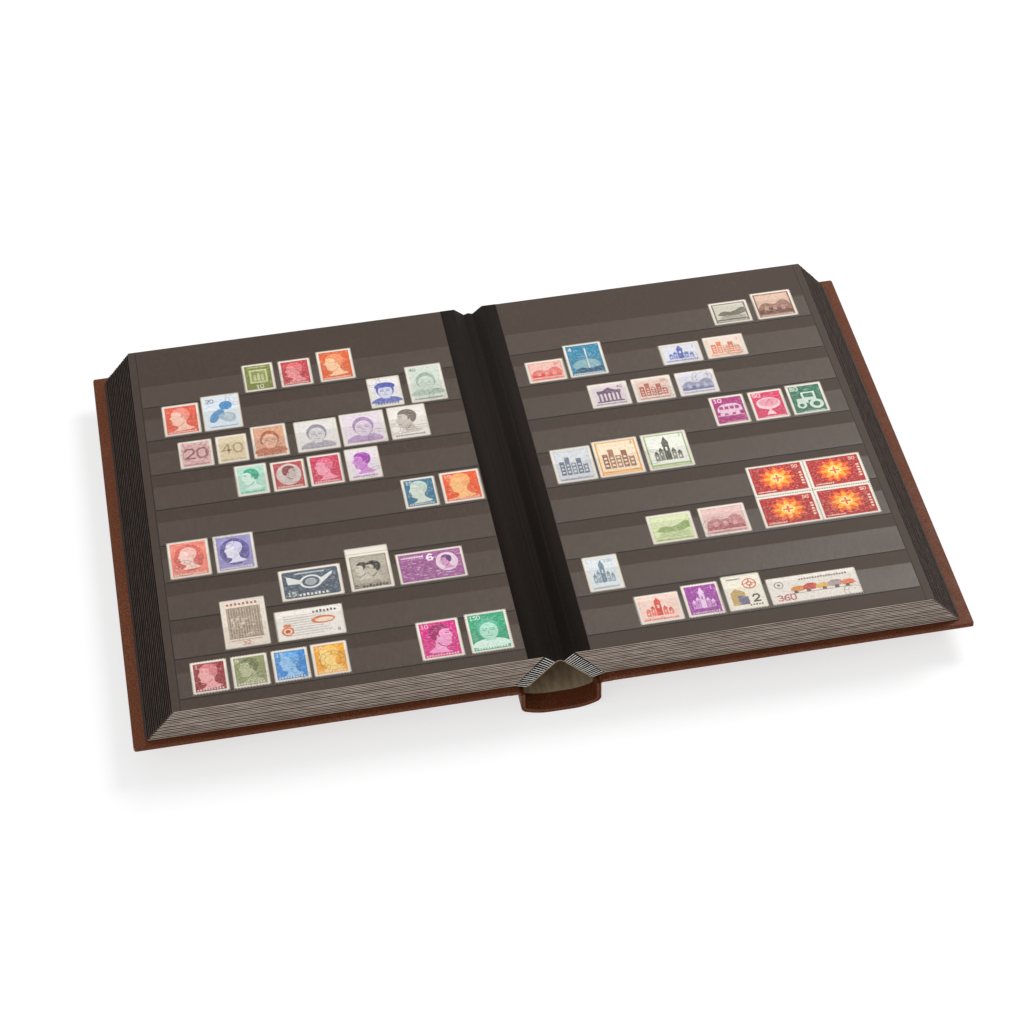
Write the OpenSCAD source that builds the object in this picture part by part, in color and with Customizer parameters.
// Stock album for stamps: a hard cover with a hollow spine, thirty-two card leaves bound on
// short guards, and rows of clear pocket strips that hold the stamps.
// It lies open in the middle. The origin is under the middle of the spine, +X runs towards
// the right-hand cover, +Y towards the head of the pages and +Z up out of the open pages.

/* [Cover] */
// Height of the cover, foot to head
cover_h = 305; // [290:1:320]
// Distance from the middle of the spine to the fore edge of a board
cover_reach = 232.4; // [228:0.2:240]
// Thickness of a covered board
cover_t = 3.4; // [3:0.1:4]
// Thickness of the leatherette on a board
skin_t = 0.4; // [0.3:0.1:0.5]
// Width of leatherette turned over onto the inside of a board
turn_in = 15; // [12:1:18]

/* [Spine] */
// Half the outer width of the spine channel
spine_half_w = 22.3; // [22:0.1:22.4]
// Width of the flat facet that the spine rests on
spine_foot_w = 12; // [8:1:14]
// Radius of the bowed bottom of the spine
spine_bow_r = 34; // [32:1:40]
// Radius of the corner between the bow and the side wall
spine_corner_r = 4; // [3.5:0.5:5]
// Thickness of the spine leatherette
spine_skin_t = 0.9; // [0.8:0.1:1]

/* [Leaves] */
// Height of a leaf
leaf_h = 297; // [280:1:300]
// Width of a leaf from its hinge to its fore edge
leaf_w = 200.5; // [190:0.5:201]
// Thickness of a leaf
leaf_t = 1; // [0.8:0.05:1.05]
// Height from one leaf to the next
leaf_pitch = 1.24; // [1.22:0.01:1.25]
// How far the hinge of the lowest leaf lies from the middle
low_hinge_x = 25.3; // [25:0.1:25.6]
// How far the hinge of the top leaf lies from the middle
top_hinge_x = 8.6; // [8.4:0.1:9.2]

/* [Guards] */
// Length of a guard from its leaf towards the spine
guard_l = 6.8; // [6:0.1:7]
// Thickness of a guard
guard_t = 0.64; // [0.5:0.02:0.66]
// Slope of the lowest guard, in degrees
low_guard_slope = 18; // [16:1:20]
// Slope of the top guard, in degrees
top_guard_slope = 41; // [40:1:43]

/* [Pockets] */
// Height from one pocket strip to the next
pocket_pitch = 29.6; // [29:0.1:30]
// Height of the clear strip
strip_h = 18.5; // [17:0.5:20]
// Thickness of the clear strip
strip_t = 0.12; // [0.1:0.01:0.15]
// Thickness of a stamp
stamp_t = 0.12; // [0.08:0.01:0.14]

/* [Hidden] */
$fn = 48;
LEAVES = 16;
PAIRS = LEAVES / 2;
POCKETS = 9;
LOOSE = 5;
function numbered(stem, n) = [for (k = [1:n]) str(stem, k)];

board_z = 17.4;              // underside of both covers above the spine's foot
board_top = board_z + cover_t;
board_inner_x = 26.6;        // inner edge of a board
paper_t = 0.2;               // endpaper over the turned-in leatherette
wall_top = 17;               // top of the spine's side walls
foot_x = spine_foot_w / 2;
bow_c = [foot_x, spine_bow_r];
corner_c = [
    spine_half_w - spine_corner_r,
    spine_bow_r - sqrt(pow(spine_bow_r - spine_corner_r, 2)
                       - pow(spine_half_w - spine_corner_r - foot_x, 2))
];
corner_a = atan2(corner_c[1] - bow_c[1], corner_c[0] - bow_c[0]);
spine_board_t = 1.2;
lining_t = 0.3;
head_turn = 14;              // leatherette turned in at the head and foot of the spine
leaf_gap = (leaf_pitch - leaf_t) / 2;
guard_root = 0.7;            // room for the linen fold between a leaf and its guard
page_z = board_top + leaf_gap + leaf_pitch * (LEAVES - 1) + leaf_t;
stamp_lift = 0.03;           // a stamp lies this far off the page
film_lift = 0.2;             // the clear strip lies this far off the page
stamp_over = 0.02;           // a tall stamp's head clears the strip above by this
first_seam_y = 98;           // seam of the top pocket strip
page_skew = 1.4;             // the right-hand page sits a little higher than the left-hand one
strip_in_x = 17.6;           // gutter end of a pocket strip
strip_out_gap = 5;           // from the strip's other end to the fore edge
seam_w = 1;
slot_y = 1.2;                // a stamp's foot stands this far above the seam
page_out_x = top_hinge_x + leaf_w - strip_out_gap;
hinge_step = (low_hinge_x - top_hinge_x) / (LEAVES - 1);
thin_strip_t = 0.08;         // an empty pocket strip lies flat on its page

leather = [0.27, 0.14, 0.10];
card = [0.24, 0.22, 0.20];
linen = [0.12, 0.10, 0.09];
film = [0.75, 0.73, 0.70, 0.35];
buff = [0.62, 0.57, 0.48];

// Stamps as [pocket row from the head, left edge, width, height]
left_layout = [
    [2, -193.5, 22, 27], [2, -170, 23, 31], [2, -71, 20, 27], [2, -47, 22, 33],
    [3, -187, 20, 23.5], [3, -165, 18.5, 24], [3, -144, 21, 28],
    [3, -118.5, 25.5, 27], [3, -91.5, 26.5, 28], [3, -63, 23, 28.5],
    [4, -157, 19, 26], [4, -136, 20, 25], [4, -114.5, 20, 26], [4, -92.5, 20, 27],
    [5, -64, 20, 25], [5, -41.5, 23.5, 26],
    [6, -201, 23.5, 29.5], [6, -175, 23, 29.5],
    [7, -142, 35, 24.5], [7, -103.5, 24.5, 34], [7, -76, 38, 24.5],
    [8, -176.5, 25, 37], [8, -148, 38, 23],
    [9, -197, 20, 24], [9, -175, 20, 24], [9, -153, 20, 24], [9, -131.5, 20, 24.5],
    [9, -73, 23.5, 29], [9, -46, 23.5, 30]
];
right_layout = [
    [2, 24.5, 23.5, 19.5], [2, 49.5, 23.5, 30], [2, 106, 25, 18.5], [2, 133.5, 25, 20],
    [3, 57, 24, 21.5], [3, 83.5, 24, 21.5], [3, 110, 24, 21.5],
    [4, 125, 21, 25.5], [4, 148.5, 21, 25.5], [4, 171.5, 22, 26.5],
    [5, 24.5, 24, 29], [5, 49.5, 27, 31], [5, 78.5, 27, 31],
    [7, 67.5, 26, 23.5], [7, 97.5, 27, 24],
    [8, 25.5, 20, 27.5],
    [9, 47.5, 25, 22], [9, 74.5, 21, 25], [9, 97.5, 22, 27], [9, 121.5, 51, 20.5]
];
block_of_four = [7, 132, 67.5, 51];
// The stamps that stand in the top pockets, where they can be lifted out
loose_layout = [
    [1, -143, 19, 25], [1, -121, 19.5, 24.5], [1, -97.5, 21.5, 28],
    [1, 144.5, 24, 21], [1, 171.5, 25.5, 25]
];

// Height of the middle of leaf i, counted from the board
function leaf_mid(i) = board_top + leaf_gap + leaf_pitch * (i - 1) + leaf_t / 2;
// A value that runs evenly from the lowest leaf to the top one
function fanned(low, top, i) = low + (top - low) * (i - 1) / (LEAVES - 1);
function hinge_x(i) = fanned(low_hinge_x, top_hinge_x, i);
function guard_slope(i) = fanned(low_guard_slope, top_guard_slope, i);
function guard_way(i) = [-cos(guard_slope(i)), -sin(guard_slope(i))];
function guard_tip(i) =
    [hinge_x(i), leaf_mid(i)] + guard_way(i) * (guard_root + guard_l);

// Points of an arc about c, from angle a0 to a1
function arc(c, r, a0, a1, n) =
    [for (k = [0:n]) let (a = a0 + (a1 - a0) * k / n) c + r * [cos(a), sin(a)]];
// Right-hand half of the spine's section, at a depth under its outer face
function half_channel(depth, top) = concat(
    arc(bow_c, spine_bow_r - depth, -90, corner_a, 8),
    arc(corner_c, spine_corner_r - depth, corner_a, 0, 6),
    [[spine_half_w - depth, top]]
);
function reversed(list) = [for (k = [len(list) - 1:-1:0]) list[k]];
function mirrored(list) = [for (p = list) [-p[0], p[1]]];
function channel(depth, top) =
    concat(reversed(mirrored(half_channel(depth, top))), half_channel(depth, top));

// Extrudes a section drawn in X and Z along the length of the book
module along_spine(length, middle = 0) {
    translate([0, middle + length / 2, 0]) rotate([90, 0, 0]) linear_extrude(length) children();
}

module box(low, high) {
    translate(low) cube(high - low);
}

// A flat bar of section t that runs from a to b in X and Z, on the left-hand side of its way
module bar(a, b, t) {
    way = (b - a) / norm(b - a);
    side = [-way[1], way[0]] * t;
    polygon([a, b, b + side, a + side]);
}

// ---- cover ----

module board() {
    box([board_inner_x + skin_t, -cover_h / 2 + skin_t, board_z + skin_t],
        [cover_reach - skin_t, cover_h / 2 - skin_t, board_top - skin_t - paper_t]);
}

module board_leatherette() {
    difference() {
        box([board_inner_x, -cover_h / 2, board_z], [cover_reach, cover_h / 2, board_top - paper_t]);
        board();
        box([board_inner_x + skin_t, -cover_h / 2 + turn_in, board_z + cover_t / 2],
            [cover_reach - turn_in, cover_h / 2 - turn_in, board_top]);
    }
}

// The paper is pasted over the turned-in edges and sinks onto the board between them
module endpaper() {
    border = 6.8;
    box([board_inner_x + skin_t, -cover_h / 2 + border, board_top - paper_t],
        [cover_reach - border, cover_h / 2 - border, board_top]);
    box([board_inner_x + skin_t, -cover_h / 2 + turn_in, board_top - skin_t - paper_t],
        [cover_reach - turn_in, cover_h / 2 - turn_in, board_top - paper_t]);
}

// Leatherette that bends between the top of the spine's wall and the board's edge
module joint_strip() {
    outer = spine_half_w;
    inner = spine_half_w - spine_skin_t;
    low = board_z + 0.3;
    along_spine(cover_h)
        polygon([
            [inner, wall_top], [outer, wall_top], [outer, low], [board_inner_x, low],
            [board_inner_x, low + spine_skin_t], [inner, low + spine_skin_t]
        ]);
}

module spine_skin() {
    along_spine(cover_h)
        polygon(concat(channel(0, wall_top), reversed(channel(spine_skin_t, wall_top))));
    // turned in over the spine board at the head and the foot
    inside = spine_skin_t + spine_board_t;
    for (end = [-1, 1])
        along_spine(head_turn, end * (cover_h - head_turn) / 2)
            intersection() {
                polygon(concat(
                    channel(inside, wall_top), reversed(channel(inside + skin_t, wall_top))
                ));
                translate([-foot_x * 2, 0]) square([foot_x * 4, wall_top]);
            }
}

// Stiff card in the bow of the spine
module spine_stiffener() {
    side = spine_half_w - spine_corner_r;
    along_spine(cover_h - 2 * skin_t)
        intersection() {
            polygon(concat(
                channel(spine_skin_t, wall_top),
                reversed(channel(spine_skin_t + spine_board_t, wall_top))
            ));
            translate([-side, 0]) square([2 * side, wall_top / 2]);
        }
}

// Paper on the inside of the spine, between the turned-in ends
module spine_inside() {
    depth = spine_skin_t + spine_board_t;
    side = spine_half_w - spine_corner_r;
    along_spine(cover_h - 2 * head_turn)
        intersection() {
            polygon(concat(channel(depth, wall_top), reversed(channel(depth + lining_t, wall_top))));
            translate([-side, 0]) square([2 * side, wall_top / 2]);
        }
    for (s = [-1, 1])
        along_spine(cover_h - 2 * head_turn)
            difference() {
                scale([s, 1])
                    polygon(concat(
                        half_channel(spine_skin_t, wall_top),
                        reversed(half_channel(spine_skin_t + lining_t, wall_top))
                    ));
                translate([-side, 0]) square([2 * side, wall_top]);
            }
}

// Paper that covers the ends of the guards and closes the hollow from above
module block_lining() {
    foot_z = 20.4;
    off = 0.4;                                   // clear of the guard ends
    low_tip = guard_tip(1);
    top_tip = guard_tip(LEAVES);
    way = (top_tip - low_tip) / norm(top_tip - low_tip);
    out = [-way[1], way[0]];                     // towards the hollow
    side = out[0] < 0 ? out : -out;
    a = low_tip + side * off;
    b = top_tip + side * off;
    foot = a + way * (foot_z - a[1]) / way[1];
    apex = [0.2, b[1] + 0.8];
    along_spine(leaf_h) {
        bar(foot, b, lining_t);
        bar(b, apex, lining_t);
    }
}

// ---- leaves and guards ----

module leaf(i) {
    box([hinge_x(i), -leaf_h / 2, leaf_mid(i) - leaf_t / 2],
        [hinge_x(i) + leaf_w, leaf_h / 2, leaf_mid(i) + leaf_t / 2]);
}

module leaf_pair(p, last = 0) {
    color(card) for (i = [2 * p - 1:2 * p - last]) leaf(i);
}

module guard(i) {
    way = guard_way(i);
    side = [-way[1], way[0]] * guard_t / 2;
    a = [hinge_x(i), leaf_mid(i)] + way * guard_root;
    b = guard_tip(i);
    along_spine(leaf_h) polygon([a + side, b + side, b - side, a - side]);
}

module guard_pair(p) {
    color("white") for (i = [2 * p - 1, 2 * p]) guard(i);
}

// ---- pockets and stamps ----

function seam_y(row, skew) = first_seam_y + skew - pocket_pitch * (row - 1);

// Clear strips on a page that faces up, from x0 to x1: a film held off the page by its seam
module pocket_rows(x0, x1, z, skew) {
    color(film)
        for (row = [1:POCKETS]) {
            y = seam_y(row, skew);
            box([x0, y, z + film_lift], [x1, y + strip_h, z + film_lift + strip_t]);
            box([x0, y - seam_w, z], [x1, y, z + film_lift + strip_t]);
        }
}

// Empty pocket strips, which lie flat on the page
module sunk_rows(x0, x1, z) {
    for (row = [1:POCKETS]) {
        y = seam_y(row, page_skew);
        box([x0, y - seam_w, z], [x1, y + strip_h, z + thin_strip_t]);
    }
}

// A stamp behind its strip. One taller than the row rests its head on the strip above.
module stamp(place, skew) {
    head = place[3];
    fold = pocket_pitch - slot_y - seam_w - 1;   // where a tall stamp starts to rise
    rise = film_lift + strip_t - stamp_lift + stamp_over;
    back = head <= fold ? [[0, 0], [head, 0]] : [[0, 0], [fold - 1, 0], [fold, rise], [head, rise]];
    front = [for (p = back) p + [0, stamp_t]];
    translate([place[1], seam_y(place[0], skew) + slot_y, page_z + stamp_lift])
        rotate([90, 0, 90]) linear_extrude(place[2]) polygon(concat(back, reversed(front)));
}

module loose_stamp(k) {
    place = loose_layout[k - 1];
    color("ivory") stamp(place, place[1] < 0 ? -page_skew : page_skew);
}

// ---- nodes ----

module back_board() { color("tan") board(); }
module back_leatherette() { color(leather) board_leatherette(); }
module back_endpaper() { color(linen) endpaper(); }
module back_joint_strip() { color(leather) joint_strip(); }
module back_block_lining() { color(buff) block_lining(); }
module spine_board() { color("tan") spine_stiffener(); }
module spine_leatherette() { color(leather) spine_skin(); }
module spine_lining() { color(buff) spine_inside(); }
module front_board() { mirror([1, 0, 0]) back_board(); }
module front_leatherette() { mirror([1, 0, 0]) back_leatherette(); }
module front_endpaper() { mirror([1, 0, 0]) back_endpaper(); }
module front_joint_strip() { mirror([1, 0, 0]) back_joint_strip(); }
module front_block_lining() { mirror([1, 0, 0]) back_block_lining(); }

// The top leaf on the right turns by itself, so the last group there holds one leaf
module right_leaves(p) { leaf_pair(p, p == PAIRS ? 1 : 0); }
module turning_leaf() { color(card) leaf(LEAVES); }
module left_leaves(p) { mirror([1, 0, 0]) leaf_pair(p); }
module right_guards(p) { guard_pair(p); }
module left_guards(p) { mirror([1, 0, 0]) guard_pair(p); }

module right_pockets() { pocket_rows(strip_in_x, page_out_x, page_z, page_skew); }
module left_pockets() { mirror([1, 0, 0]) pocket_rows(strip_in_x, page_out_x, page_z, -page_skew); }
// On the back of the turning leaf, facing down into the gap between two leaves
module verso_pockets() {
    color(film) sunk_rows(strip_in_x, page_out_x, page_z - leaf_t - thin_strip_t);
}
// On the page that shows once the top leaf has turned
module next_page_pockets() {
    color(film) sunk_rows(strip_in_x + hinge_step, page_out_x + hinge_step, page_z - leaf_pitch);
}

module right_stamps() {
    color("ivory") {
        for (place = right_layout) stamp(place, page_skew);
        stamp(block_of_four, page_skew);
    }
}
module left_stamps() { color("ivory") for (place = left_layout) stamp(place, -page_skew); }

back_board();
back_leatherette();
back_endpaper();
back_joint_strip();
back_block_lining();
spine_board();
spine_leatherette();
spine_lining();
front_board();
front_leatherette();
front_endpaper();
front_joint_strip();
front_block_lining();
turning_leaf();
for (p = [1:PAIRS]) {
    right_leaves(p);
    left_leaves(p);
    right_guards(p);
    left_guards(p);
}
right_pockets();
left_pockets();
verso_pockets();
next_page_pockets();
right_stamps();
left_stamps();
for (k = [1:LOOSE])
    loose_stamp(k);
